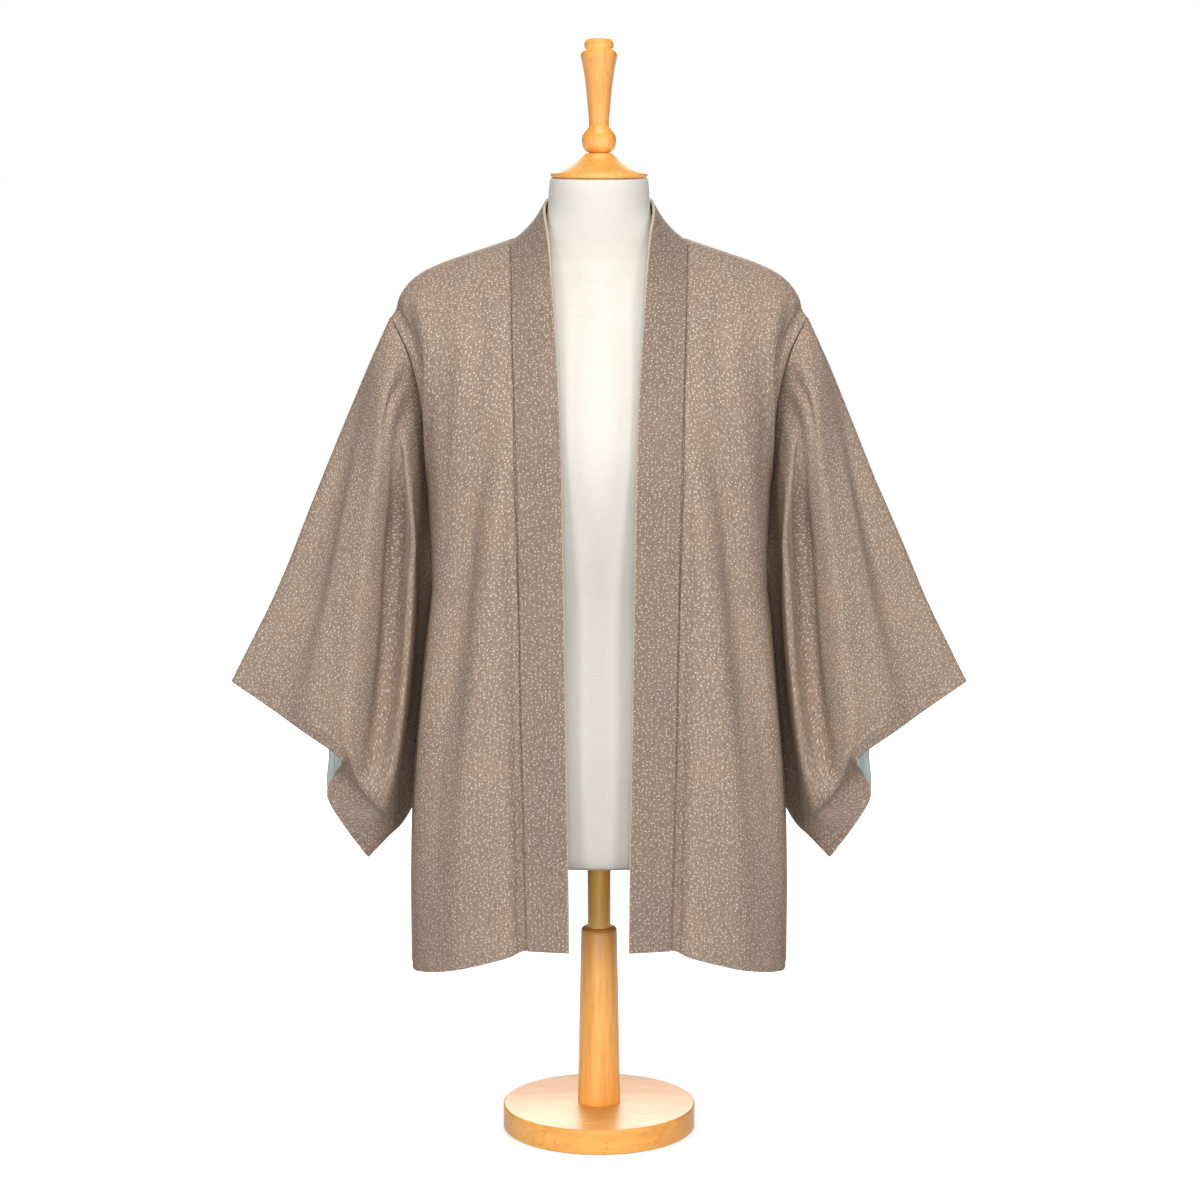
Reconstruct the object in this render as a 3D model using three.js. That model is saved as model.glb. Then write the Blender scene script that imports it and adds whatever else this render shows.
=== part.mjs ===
// A haori, an open Japanese jacket, worn by a limbless dress form on a turned wooden stand.
// Millimetres, +Z up. X runs across the shoulders, the open front faces -Y, and the origin is the
// middle of the underside of the stand's foot. Each solid is one piece a maker would cut or turn.
import * as THREE from "three";

// ---------------------------------------------------------------- driving sizes
const CLOTH = 1.6; // a panel: crepe silk with its turned-in edges
const BAND = 3; // the collar band, folded over on itself round a stiff strip
const BAND_PROUD = 1; // the band stands this far out from the panel it is sewn to
const LINING = 1;
const LINING_CLEAR = 0.5; // between a sleeve's inner face and its lining
const SEAM = 0.6; // space left between two pieces at a seam
const ARMHOLE_SEAM = 0.9;
const SHOULDER_SLOPE = 0.335; // the fall of every panel for each millimetre out from the neck

// steps in the cloth's facets
const BODY_STEPS = { along: 40, across: 9 };
const BAND_STEPS = { along: 44, across: 2 };
const SLEEVE_STEPS = { along: 14, across: 24 };
const LINING_FROM = 9; // the step along the sleeve where its lining begins

// turned wood and the form's neck
const FOOT = { radius: 100, thick: 26, edge: 2 };
const COLUMN = { foot: 22, top: 18.6, height: 188, socket: 40 };
const POLE = { radius: 12, bottom: 176, top: 352 };
const FORM_FLOOR = 294;
const NECK_TOP = 986;

const BROWN = 0xa28d7d;
const PALE_BLUE = 0xb9cdcd;
const IVORY = 0xf4f1e9;
const BEECH = 0xefb877;

// ---------------------------------------------------------------- tables
// The collar band, hem to nape, right side: the line where it is sewn on, and its free edge.
// hollow is how far its middle curves in towards the neck.
const BAND_LINE = [
  { at: "hem", seam: [72, -126, 221], edge: [29.5, -127, 219] },
  { at: "skirt", seam: [74, -126, 325], edge: [30.5, -127, 324] },
  { at: "hip", seam: [76.5, -124, 424], edge: [32, -125, 424] },
  { at: "waist", seam: [78, -120, 531], edge: [33.5, -121, 532] },
  { at: "ribs", seam: [79.5, -116, 626], edge: [35, -117, 628] },
  { at: "bust", seam: [81, -111, 690], edge: [36, -112, 694] },
  { at: "chest", seam: [83, -103, 752], edge: [38, -104.5, 758] },
  { at: "upper chest", seam: [84.5, -91, 806], edge: [41, -94, 816] },
  { at: "collarbone", seam: [86, -72, 852], edge: [44.5, -79, 870] },
  { at: "throat", seam: [87, -40, 892], edge: [49, -50, 921], hollow: 2.5 },
  { at: "neck side", seam: [87, 0, 921], edge: [54.5, -6, 958], hollow: 3.5 },
  { at: "behind the ear", seam: [74, 38, 925], edge: [47, 30, 966], hollow: 3 },
  { at: "behind the neck", seam: [42, 66, 923], edge: [27, 51, 968], hollow: 2.5 },
  { at: "nape", seam: [0, 77, 920], edge: [0, 60, 968], hollow: 2 },
];
// The centre-back seam, nape to hem: how far back it lies and how high.
const CENTRE_BACK = [
  { at: "nape", back: 77, high: 920 },
  { at: "shoulder blades", back: 99, high: 868 },
  { at: "upper back", back: 109, high: 800 },
  { at: "ribs", back: 113, high: 715 },
  { at: "waist", back: 113, high: 600 },
  { at: "hip", back: 112, high: 484 },
  { at: "skirt", back: 112, high: 374 },
  { at: "hem", back: 113, high: 262 },
];
// The side seam, hem to armpit.
const SIDE_SEAM = [
  { at: "hem", point: [195, 0, 180] },
  { at: "skirt", point: [195, 0, 280] },
  { at: "hip", point: [191.5, -2, 372] },
  { at: "waist", point: [182, -2, 478] },
  { at: "armpit", point: [171, 2, 572] },
];
// The armhole, from the armpit up the front, over the shoulder and down the back.
const ARMHOLE = [
  { at: "armpit", point: [171, 2, 572] },
  { at: "front foot", point: [173, -2, 640] },
  { at: "front low", point: [177, -12, 705] },
  { at: "front middle", point: [183, -27, 765] },
  { at: "front high", point: [192, -34, 806] },
  { at: "front top", point: [203, -23, 830] },
  { at: "shoulder", point: [213, 0, 846] },
  { at: "back top", point: [203, 24, 830] },
  { at: "back high", point: [192, 37, 806] },
  { at: "back middle", point: [184, 40, 765] },
  { at: "back low", point: [178, 32, 705] },
  { at: "back foot", point: [173, 18, 640] },
  { at: "armpit", point: [171, 2, 572] },
];
// How a panel's cross section bends from its inner edge to its outer one: square is the power of
// the curve (2 is an ellipse), turn is how late the cloth drops away at the outer edge.
const PANEL_BEND = [
  { at: "front hem", square: 2.2, turn: 3 },
  { at: "front ribs", square: 2.3, turn: 3 },
  { at: "front chest", square: 2.2, turn: 4 },
  { at: "shoulder", square: 2, turn: 10 },
  { at: "back", square: 1.9, turn: 4 },
  { at: "back ribs", square: 1.6, turn: 3 },
  { at: "back hem", square: 1.8, turn: 3 },
];
// Soft folds in a body panel: where each lies across the panel and along it (0 front hem, 1 back
// hem), half its width and half its length as shares of the panel, and its height outwards.
const PANEL_FOLDS = [
  { name: "valley under the shoulder tip", across: 0.86, along: 0.44, wide: 0.07, long: 0.06, high: -9 },
  { name: "front fall", across: 0.62, along: 0.16, wide: 0.14, long: 0.22, high: 4 },
  { name: "front trough", across: 0.36, along: 0.14, wide: 0.12, long: 0.2, high: -3 },
  { name: "back fall", across: 0.55, along: 0.84, wide: 0.13, long: 0.2, high: 5 },
  { name: "back trough", across: 0.32, along: 0.86, wide: 0.12, long: 0.18, high: -4 },
];
// The sleeve: one row for each line running from the armhole to the cuff, in order round it.
// armhole is the step of ARMHOLE it starts from; the points lie at the sleeve head, and at the
// upper, middle and lower arm; at the lip of the cuff's tuck; and on the cuff. tuck is how far the
// cloth steps back under that lip.
const SLEEVE_LINES = [
  { name: "top fold", armhole: 6, head: [228, -2, 812], upper: [254, -4, 747], middle: [293, -6, 652],
    lower: [333, -7, 560], lip: [358, -7, 511], tuck: 0, cuff: [377, -6, 474] },
  { name: "front flat", armhole: 5, head: [221, -24, 800], upper: [240, -27, 715], middle: [265, -30, 610],
    lower: [297, -30, 508], lip: [314, -28, 463], tuck: 0, cuff: [323, -24, 440] },
  { name: "front ridge", armhole: 4, head: [212, -46, 780], upper: [227, -56, 672], middle: [243, -60, 562],
    lower: [255, -60, 444], lip: [259, -57, 418], tuck: 0, cuff: [262, -50, 400] },
  { name: "front valley", armhole: 3, head: [200, -46, 738], upper: [200, -35, 600], middle: [208, -36, 490],
    lower: [225, -40, 408], lip: [243, -46, 374], tuck: 24, cuff: [272, -16, 378] },
  { name: "front roll", armhole: 2, head: [188, -52, 690], upper: [187, -54, 600], middle: [195, -54, 490],
    lower: [207, -52, 402], lip: [222, -43, 347], tuck: 22, cuff: [280, -10, 356] },
  { name: "inner face", armhole: 1, head: [181, -14, 610], upper: [184, -8, 530], middle: [191, -4, 440],
    lower: [204, -8, 368], lip: [214, -14, 331], tuck: 0, cuff: [262, -10, 322] },
  { name: "underarm seam", armhole: 0, head: [169, 22, 545], upper: [168, 38, 495], middle: [172, 52, 415],
    lower: [190, 44, 345], lip: [207, 22, 318], tuck: 0, cuff: [238, 0, 288] },
  { name: "back roll", armhole: 10.5, head: [186, 46, 655], upper: [195, 60, 565], middle: [208, 62, 475],
    lower: [232, 50, 395], lip: [255, 34, 362], tuck: 0, cuff: [281, 20, 351] },
  { name: "back ridge", armhole: 9, head: [205, 54, 745], upper: [224, 60, 660], middle: [246, 62, 560],
    lower: [266, 54, 462], lip: [277, 46, 425], tuck: 0, cuff: [284, 36, 403] },
  { name: "back flat", armhole: 7.5, head: [221, 26, 800], upper: [242, 32, 712], middle: [272, 34, 610],
    lower: [303, 30, 508], lip: [318, 26, 463], tuck: 0, cuff: [330, 20, 440] },
];
const STATIONS = 7; // armhole, head, upper, middle, lower, lip, tuck, cuff
// The dress form, floor to neck: half its width, and its depth to the front and to the back.
// square is the power of the ring's curve, 2 where it isn't given.
const FORM_RINGS = [
  { high: FORM_FLOOR, wide: 150, front: 84, back: 84 },
  { high: 297, wide: 156, front: 89, back: 89 },
  { high: 306, wide: 159, front: 92, back: 92 },
  { high: 400, wide: 160, front: 95, back: 99 },
  { high: 480, wide: 149, front: 91, back: 92 },
  { high: 560, wide: 137, front: 87, back: 80 },
  { high: 640, wide: 144, front: 93, back: 84 },
  { high: 710, wide: 156, front: 98, back: 93 },
  { high: 770, wide: 165, front: 90, back: 96 },
  { high: 815, wide: 174, front: 76, back: 92 },
  { high: 846, wide: 180, front: 62, back: 84 },
  { high: 866, wide: 178, front: 54, back: 76, square: 1.8 },
  { high: 880, wide: 164, front: 50, back: 72, square: 1.6 },
  { high: 894, wide: 130, front: 48, back: 66, square: 1.5 },
  { high: 906, wide: 98, front: 47, back: 62, square: 1.5 },
  { high: 920, wide: 72, front: 47, back: 57, square: 1.7 },
  { high: 936, wide: 57, front: 48, back: 54 },
  { high: 955, wide: 51.5, front: 49, back: 51 },
  { high: 978, wide: 50, front: 49, back: 49 },
  { high: NECK_TOP - 1.5, wide: 49, front: 48, back: 48 },
  { high: NECK_TOP, wide: 46.5, front: 45.5, back: 45.5 },
];
// Turned profiles: radius and height above the piece's own lowest point.
const CAP_TURNING = [
  { radius: 47.5, high: 0 },
  { radius: 48.5, high: 1 },
  { radius: 48.5, high: 4 },
  { radius: 46, high: 6 },
  { radius: 34, high: 12 },
  { radius: 22, high: 18.5 },
  { radius: 15.5, high: 24 },
];
const FINIAL_TURNING = [
  { radius: 11, high: 0 },
  { radius: 15.5, high: 4 },
  { radius: 17.2, high: 11 },
  { radius: 16, high: 19 },
  { radius: 12, high: 25 },
  { radius: 10.2, high: 28 },
  { radius: 11, high: 42 },
  { radius: 13.2, high: 66 },
  { radius: 16.6, high: 88 },
  { radius: 18.2, high: 95 },
  { radius: 18.2, high: 98.5 },
  { radius: 16.8, high: 101 },
  { radius: 14.6, high: 102.5 },
  { radius: 14.6, high: 109 },
  { radius: 12.5, high: 112.5 },
  { radius: 7, high: 113.8 },
];

// ---------------------------------------------------------------- materials
function cloth(color) {
  return new THREE.MeshStandardMaterial({ color, roughness: 0.82, metalness: 0, side: THREE.DoubleSide });
}
function lining() {
  return new THREE.MeshStandardMaterial({ color: PALE_BLUE, roughness: 0.55, metalness: 0 });
}
function linen() {
  return new THREE.MeshStandardMaterial({ color: IVORY, roughness: 0.9, metalness: 0 });
}
function wood() {
  return new THREE.MeshStandardMaterial({ color: BEECH, roughness: 0.45, metalness: 0 });
}

// ---------------------------------------------------------------- lines and surfaces
const vector = (point) => new THREE.Vector3(...point);

// A smooth line through points, read by step: a whole number is the point of that number.
function line(points) {
  const curve = new THREE.CatmullRomCurve3(points, false, "centripetal");
  return (step) => curve.getPoint(THREE.MathUtils.clamp(step / (points.length - 1), 0, 1));
}
const bandSeam = line(BAND_LINE.map((row) => vector(row.seam)));
const bandEdge = line(BAND_LINE.map((row) => vector(row.edge)));
const bandHollow = line(BAND_LINE.map((row, i) => new THREE.Vector3(i, row.hollow ?? 0, 0)));
const centreBack = line(CENTRE_BACK.map((row) => new THREE.Vector3(0, row.back, row.high)));
const sideSeam = line(SIDE_SEAM.map((row) => vector(row.point)));
const armhole = line(ARMHOLE.map((row) => vector(row.point)));
const panelBend = line(PANEL_BEND.map((row) => new THREE.Vector3(row.square, row.turn, 0)));

const SIDE_SPANS = SIDE_SEAM.length - 1;
const ARMHOLE_SPANS = ARMHOLE.length - 1;
const PANEL_SPANS = 2 * SIDE_SPANS + ARMHOLE_SPANS;
const NAPE = BAND_LINE.length - 1;

// A panel's inner edge: beside the band from the hem to the nape, then down the centre back.
function panelInner(step) {
  if (step > NAPE) return centreBack(step - NAPE).setX(SEAM / 2);
  const seam = bandSeam(step);
  const out = seam.clone().sub(bandEdge(step)).setLength(SEAM);
  return seam.add(out).setX(Math.max(seam.x, SEAM / 2));
}
// A panel's outer edge: up the side seam, round the armhole, and down the side seam again.
function panelOuter(step) {
  const half = new THREE.Vector3(0, SEAM / 2, 0);
  if (step <= SIDE_SPANS) return sideSeam(step).sub(half);
  if (step < SIDE_SPANS + ARMHOLE_SPANS) return armhole(step - SIDE_SPANS);
  return sideSeam(PANEL_SPANS - step).add(half);
}
function panelFolds(along, across) {
  let high = 0;
  for (const fold of PANEL_FOLDS) {
    const a = (across - fold.across) / fold.wide;
    const b = (along - fold.along) / fold.long;
    high += fold.high * Math.exp(-a * a - b * b);
  }
  return high;
}
// One body panel, front hem over the shoulder to back hem.
function panelPoint(along, across) {
  const step = along * PANEL_SPANS;
  const inner = panelInner(step);
  const outer = panelOuter(step);
  const bend = panelBend(along * (PANEL_BEND.length - 1));
  const angle = (across * Math.PI) / 2;
  const reach = Math.sin(angle) ** (2 / bend.x);
  const depth = Math.cos(angle) ** (2 / bend.x);
  const x = inner.x + (outer.x - inner.x) * reach;
  const fall = SHOULDER_SLOPE * (outer.x - inner.x);
  const late = inner.z - fall - outer.z;
  const y = outer.y + (inner.y - outer.y) * depth;
  const z = inner.z - fall * reach - late * reach ** bend.y;
  const facing = new THREE.Vector3(reach, Math.sign(y) * depth, 0).normalize();
  return new THREE.Vector3(x, y, z).addScaledVector(facing, panelFolds(along, across));
}
// The collar band, right hem round the neck to left hem.
function bandPoint(along, across) {
  const step = along * 2 * NAPE;
  const side = step <= NAPE ? 1 : -1;
  const near = side > 0 ? step : 2 * NAPE - step;
  const point = bandEdge(near).lerp(bandSeam(near), across);
  const hollow = 4 * across * (1 - across) * bandHollow(near).y;
  const inwards = new THREE.Vector3(-point.x, -point.y, -60).setLength(hollow);
  point.add(inwards);
  point.x *= side;
  return point;
}

// The armhole step that lies a share of the way round the sleeve from its top fold.
const TOP_FOLD = SLEEVE_LINES[0].armhole;
const armholeStep = (around) => (TOP_FOLD + ARMHOLE_SPANS * (1 - around)) % ARMHOLE_SPANS;
const armholeSeam = (step) => armhole(step).add(new THREE.Vector3(ARMHOLE_SEAM, 0, 0));
const lineShares = SLEEVE_LINES.map((row) => (1 + (TOP_FOLD - row.armhole) / ARMHOLE_SPANS) % 1);
const sleeveLines = SLEEVE_LINES.map((row) => {
  const tuck = vector(row.lip).add(new THREE.Vector3(0.35 * row.tuck, row.tuck, -0.1 * row.tuck));
  if (row.tuck === 0) tuck.lerp(vector(row.cuff), 0.3);
  const rest = [row.head, row.upper, row.middle, row.lower, row.lip].map(vector);
  return line([armholeSeam(row.armhole), ...rest, tuck, vector(row.cuff)]);
});
// The sleeve, armhole to cuff, and once round from the top fold by the front.
function sleevePoint(along, around) {
  const share = around % 1;
  if (along === 0) return armholeSeam(armholeStep(share));
  const ring = sleeveLines.map((each) => each(along * STATIONS));
  const before = lineShares.findLastIndex((each) => each <= share);
  const gap = (lineShares[before + 1] ?? 1) - lineShares[before];
  const step = before + (share - lineShares[before]) / gap;
  return new THREE.CatmullRomCurve3(ring, true, "centripetal").getPoint(step / ring.length);
}

// ---------------------------------------------------------------- building solids
function solid(points, triangles) {
  const geometry = new THREE.BufferGeometry();
  const flat = new Float32Array(points.length * 3);
  points.forEach((point, i) => point.toArray(flat, 3 * i));
  geometry.setAttribute("position", new THREE.BufferAttribute(flat, 3));
  geometry.setIndex(triangles.flat());
  geometry.computeVertexNormals();
  return geometry;
}

// A sheet with thickness. surface(along, across) is its mid line; its two faces lie up from it and
// down from it along its normal. A ring closes on itself across. hand is 1, or -1 for a mirrored piece.
// Only the rows from first on are built.
function wall(surface, { along, across, first = 0, up = 0, down, ring = false, hand = 1 }) {
  const rows = along + 1;
  const columns = ring ? across : across + 1;
  const sample = (i, j) => surface(i / along, j / across);
  const grid = [];
  for (let i = 0; i < rows; i++) {
    grid.push([]);
    for (let j = 0; j < columns; j++) grid[i].push(sample(i, j));
  }
  const column = (j) => (ring ? (j + columns) % columns : Math.min(Math.max(j, 0), columns - 1));
  const row = (i) => Math.min(Math.max(i, 0), rows - 1);
  const upper = [];
  const lower = [];
  for (let i = 0; i < rows; i++) {
    for (let j = 0; j < columns; j++) {
      const lengthwise = grid[row(i + 1)][j].clone().sub(grid[row(i - 1)][j]);
      const crosswise = grid[i][column(j + 1)].clone().sub(grid[i][column(j - 1)]);
      const normal = crosswise.cross(lengthwise).normalize();
      upper.push(grid[i][j].clone().addScaledVector(normal, up));
      lower.push(grid[i][j].clone().addScaledVector(normal, -down));
    }
  }
  const points = [...upper, ...lower];
  if (hand < 0) points.forEach((point) => point.setX(-point.x));
  const count = upper.length;
  const index = (i, j, under) => i * columns + column(j) + (under ? count : 0);
  const triangles = [];
  const quad = (a, b, c, d) => {
    const faces = [[a, b, c], [a, c, d]];
    triangles.push(...(hand > 0 ? faces.map(([p, q, r]) => [p, r, q]) : faces));
  };
  for (let i = first; i < along; i++) {
    for (let j = 0; j < across; j++) {
      quad(index(i, j), index(i + 1, j), index(i + 1, j + 1), index(i, j + 1));
      quad(index(i, j, true), index(i, j + 1, true), index(i + 1, j + 1, true), index(i + 1, j, true));
    }
  }
  for (let j = 0; j < across; j++) {
    quad(index(first, j), index(first, j + 1), index(first, j + 1, true), index(first, j, true));
    quad(index(along, j), index(along, j, true), index(along, j + 1, true), index(along, j + 1));
  }
  if (!ring) {
    for (let i = first; i < along; i++) {
      quad(index(i, 0), index(i, 0, true), index(i + 1, 0, true), index(i + 1, 0));
      quad(index(i, across), index(i + 1, across), index(i + 1, across, true), index(i, across, true));
    }
  }
  return solid(points, triangles);
}

// Rings joined one to the next and closed at both ends.
function lofted(rings) {
  const around = rings[0].length;
  const points = rings.flat();
  const ends = [rings[0], rings.at(-1)].map((ring) => {
    const middle = new THREE.Vector3();
    ring.forEach((point) => middle.addScaledVector(point, 1 / around));
    return points.push(middle) - 1;
  });
  const triangles = [];
  for (let j = 0; j < around; j++) {
    const next = (j + 1) % around;
    for (let i = 0; i + 1 < rings.length; i++) {
      const [a, b] = [i * around + j, i * around + next];
      triangles.push([a, b, b + around], [a, b + around, a + around]);
    }
    const last = (rings.length - 1) * around;
    triangles.push([ends[0], next, j], [ends[1], last + j, last + next]);
  }
  return solid(points, triangles);
}
function turned(rows, segments = 32) {
  const profile = [new THREE.Vector2(0, rows[0].high)];
  for (const row of rows) profile.push(new THREE.Vector2(row.radius, row.high));
  profile.push(new THREE.Vector2(0, rows.at(-1).high));
  const geometry = new THREE.LatheGeometry(profile, segments);
  geometry.rotateX(Math.PI / 2);
  return geometry;
}
function mesh(name, geometry, material, high = 0) {
  const piece = new THREE.Mesh(geometry, material);
  piece.name = name;
  piece.position.z = high;
  return piece;
}

// ---------------------------------------------------------------- the pieces
function bodyPanel(hand) {
  return wall(panelPoint, { ...BODY_STEPS, down: CLOTH, hand });
}
function collarBand() {
  return wall(bandPoint, { ...BAND_STEPS, up: BAND_PROUD, down: BAND - BAND_PROUD });
}
function sleeve(hand) {
  return wall(sleevePoint, { ...SLEEVE_STEPS, down: CLOTH, ring: true, hand });
}
// The lining is cut only as deep as it can be seen: the outer part of the sleeve.
function sleeveLining(hand) {
  const up = -(CLOTH + LINING_CLEAR);
  return wall(sleevePoint, { ...SLEEVE_STEPS, first: LINING_FROM, up, down: LINING - up, ring: true, hand });
}
function formTorso() {
  const around = 32;
  const bent = (share, square) => Math.sign(share) * Math.abs(share) ** (2 / square);
  const ring = ({ high, wide, front, back, square = 2 }) => {
    const points = [];
    for (let j = 0; j < around; j++) {
      const angle = (2 * Math.PI * (j + 0.5)) / around;
      const depth = Math.sin(angle) < 0 ? front : back;
      const x = wide * bent(Math.cos(angle), square);
      points.push(new THREE.Vector3(x, depth * bent(Math.sin(angle), square), high));
    }
    return points;
  };
  const hole = POLE.radius + 0.4;
  const socket = [POLE.top + 1, FORM_FLOOR].map((high) => ring({ high, wide: hole, front: hole, back: hole }));
  return lofted([...socket, ...FORM_RINGS.map(ring)]);
}
function column() {
  const mouth = POLE.radius + 0.4;
  const top = COLUMN.height;
  return turned([
    { radius: COLUMN.foot, high: 0 },
    { radius: COLUMN.foot, high: 8 },
    { radius: COLUMN.top, high: top - 6 },
    { radius: COLUMN.top - 1, high: top - 2 },
    { radius: COLUMN.top - 3.5, high: top },
    { radius: mouth, high: top },
    { radius: mouth, high: top - COLUMN.socket },
  ]);
}
function foot() {
  const { radius, thick, edge } = FOOT;
  return turned([
    { radius: radius - edge, high: 0 },
    { radius, high: edge },
    { radius, high: thick - edge },
    { radius: radius - edge, high: thick },
  ], 48);
}

const haori = new THREE.Group();
const jacketCloth = cloth(BROWN);
for (const [side, hand] of [["left", -1], ["right", 1]]) {
  haori.add(mesh(`body_${side}`, bodyPanel(hand), jacketCloth.clone()));
  haori.add(mesh(`sleeve_${side}`, sleeve(hand), jacketCloth.clone()));
  haori.add(mesh(`sleeve_lining_${side}`, sleeveLining(hand), lining()));
}
haori.add(mesh("collar_band", collarBand(), jacketCloth.clone()));

const stand = new THREE.Group();
stand.add(mesh("foot", foot(), wood()));
stand.add(mesh("column", column(), wood(), FOOT.thick + 0.3));
stand.add(mesh("pole", turned([
  { radius: POLE.radius, high: 0 },
  { radius: POLE.radius, high: POLE.top - POLE.bottom },
]), wood(), POLE.bottom));
stand.add(mesh("form_torso", formTorso(), linen()));
stand.add(mesh("neck_cap", turned(CAP_TURNING, 40), wood(), NECK_TOP + 0.4));
stand.add(mesh("finial", turned(FINIAL_TURNING), wood(), NECK_TOP + 0.4 + 24.3));

const dressedForm = new THREE.Group();
dressedForm.add(haori, stand);
export default dressedForm;
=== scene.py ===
# %% [markdown]
# # A haori jacket on a dress form
#
# A haori is the open jacket worn over a kimono. It is cut from one narrow bolt of silk: two long body
# panels with no shoulder seam, two folded squares for the sleeves, and one long collar band that
# runs from hem to hem round the neck. Almost nothing is shaped, so its look comes from straight
# cloth hanging over round shoulders. The lesson builds each panel as a thin sheet, adds the folds,
# and then dyes the silk with a small scattered pattern.

# %% Start
import math

import bmesh
import bpy
import numpy as np
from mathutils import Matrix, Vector


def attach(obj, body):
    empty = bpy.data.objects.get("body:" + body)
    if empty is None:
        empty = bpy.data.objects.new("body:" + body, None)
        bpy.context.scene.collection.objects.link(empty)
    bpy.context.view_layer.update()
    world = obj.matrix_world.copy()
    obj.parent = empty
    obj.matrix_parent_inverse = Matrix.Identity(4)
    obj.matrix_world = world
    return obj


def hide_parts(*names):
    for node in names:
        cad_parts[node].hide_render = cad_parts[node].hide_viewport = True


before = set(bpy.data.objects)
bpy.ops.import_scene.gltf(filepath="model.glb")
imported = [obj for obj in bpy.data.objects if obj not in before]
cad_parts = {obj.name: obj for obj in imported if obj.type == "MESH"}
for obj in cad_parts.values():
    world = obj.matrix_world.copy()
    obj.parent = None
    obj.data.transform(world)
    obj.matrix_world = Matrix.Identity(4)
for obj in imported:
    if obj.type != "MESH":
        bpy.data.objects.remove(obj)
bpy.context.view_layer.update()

MM = 0.001

# %% [markdown]
# ## The sizes
#
# The same sizes as the part's source, in millimetres, so that every visual piece lies on its solid.
# The collar band's seam and free edge run from the hem to the nape.

# %% Sizes of the cloth
CLOTH, BAND, BAND_PROUD, LINING, LINING_CLEAR = 1.6, 3.0, 1.0, 1.0, 0.5
SEAM, ARMHOLE_SEAM, BAND_LAP, SHOULDER_SLOPE = 0.15, 0.3, 2.5, 0.335

BAND_SEAM = [
    (72, -126, 221), (74, -126, 325), (76.5, -124, 424), (78, -120, 531), (79.5, -116, 626),
    (81, -111, 690), (83, -103, 752), (84.5, -91, 806), (86, -72, 852), (87, -40, 892),
    (87, 0, 921), (74, 38, 925), (42, 66, 923), (0, 77, 920),
]
BAND_EDGE = [
    (29.5, -127, 219), (30.5, -127, 324), (32, -125, 424), (33.5, -121, 532), (35, -117, 628),
    (36, -112, 694), (38, -104.5, 758), (41, -94, 816), (44.5, -79, 870), (49, -50, 921),
    (54.5, -6, 958), (47, 30, 966), (27, 51, 968), (0, 60, 968),
]
BAND_HOLLOW = [0, 0, 0, 0, 0, 0, 0, 0, 0, 2.5, 3.5, 3, 2.5, 2]
CENTRE_BACK = [
    (0, 77, 920), (0, 99, 868), (0, 109, 800), (0, 113, 715), (0, 113, 600), (0, 112, 484),
    (0, 112, 374), (0, 113, 262),
]
SIDE_SEAM = [(195, 0, 180), (195, 0, 280), (191.5, -2, 372), (182, -2, 478), (171, 2, 572)]
ARMHOLE = [
    (171, 2, 572), (173, -2, 640), (176, -8, 705), (181, -17, 765), (190, -23, 806),
    (201, -16, 830), (210.5, 0, 846), (203, 24, 830), (192, 37, 806), (184, 40, 765),
    (178, 32, 705), (173, 18, 640), (171, 2, 572),
]
PANEL_BEND = [(2.2, 3), (2.3, 3), (2.2, 4), (2, 9), (1.9, 4), (1.6, 3), (1.8, 3)]
PANEL_FOLDS = [
    (0.86, 0.44, 0.07, 0.06, -9), (0.62, 0.16, 0.14, 0.22, 4), (0.36, 0.14, 0.12, 0.2, -3),
    (0.55, 0.84, 0.13, 0.2, 5), (0.32, 0.86, 0.12, 0.18, -4),
]
NAPE, SIDE_SPANS, ARM_SPANS = 13, 4, 12
PANEL_SPANS = 2 * SIDE_SPANS + ARM_SPANS

# One row for each line down the sleeve: its step on the armhole, then its points at the head,
# upper, middle and lower arm and at the lip, how far the tuck steps back, and its point on the cuff.
SLEEVE = [
    (6, (226.5, -2, 812), (254, -4, 747), (293, -6, 652), (333, -7, 560), (358, -7, 511), 0, (377, -6, 474)),
    (5, (221, -24, 800), (240, -27, 715), (265, -30, 610), (297, -30, 508), (314, -28, 463), 0, (323, -24, 440)),
    (4, (212, -46, 780), (227, -56, 672), (243, -60, 562), (255, -60, 444), (259, -57, 418), 0, (262, -50, 400)),
    (3, (200, -46, 738), (200, -35, 600), (208, -36, 490), (225, -40, 408), (243, -46, 374), 24, (272, -16, 378)),
    (2, (188, -52, 690), (187, -54, 600), (195, -54, 490), (207, -52, 402), (222, -43, 347), 22, (280, -10, 356)),
    (1, (181, -14, 610), (184, -8, 530), (191, -4, 440), (204, -8, 368), (214, -14, 331), 0, (262, -10, 322)),
    (0, (169, 22, 545), (168, 38, 495), (172, 52, 415), (190, 44, 345), (207, 22, 318), 0, (238, 0, 288)),
    (10.5, (186, 46, 655), (195, 60, 565), (208, 62, 475), (232, 50, 395), (255, 34, 362), 0, (281, 20, 351)),
    (9, (205, 54, 745), (224, 60, 660), (246, 62, 560), (266, 54, 462), (277, 46, 425), 0, (284, 36, 403)),
    (7.5, (221, 26, 800), (242, 32, 712), (272, 34, 610), (303, 30, 508), (318, 26, 463), 0, (330, 20, 440)),
]
STATIONS = 7
LINING_FROM = 9 / 14
print(len(SLEEVE), "lines down each sleeve,", PANEL_SPANS, "spans along a body panel")

# %% [markdown]
# ## Smooth lines
#
# A tailor's curve is a bent lath held at a few pins. This function is the same thing: it runs a smooth
# line through the pins, and it takes a whole array of steps at once, which keeps the sheets quick
# to build. The square root of each gap keeps the line from overshooting where pins are close.


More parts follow.
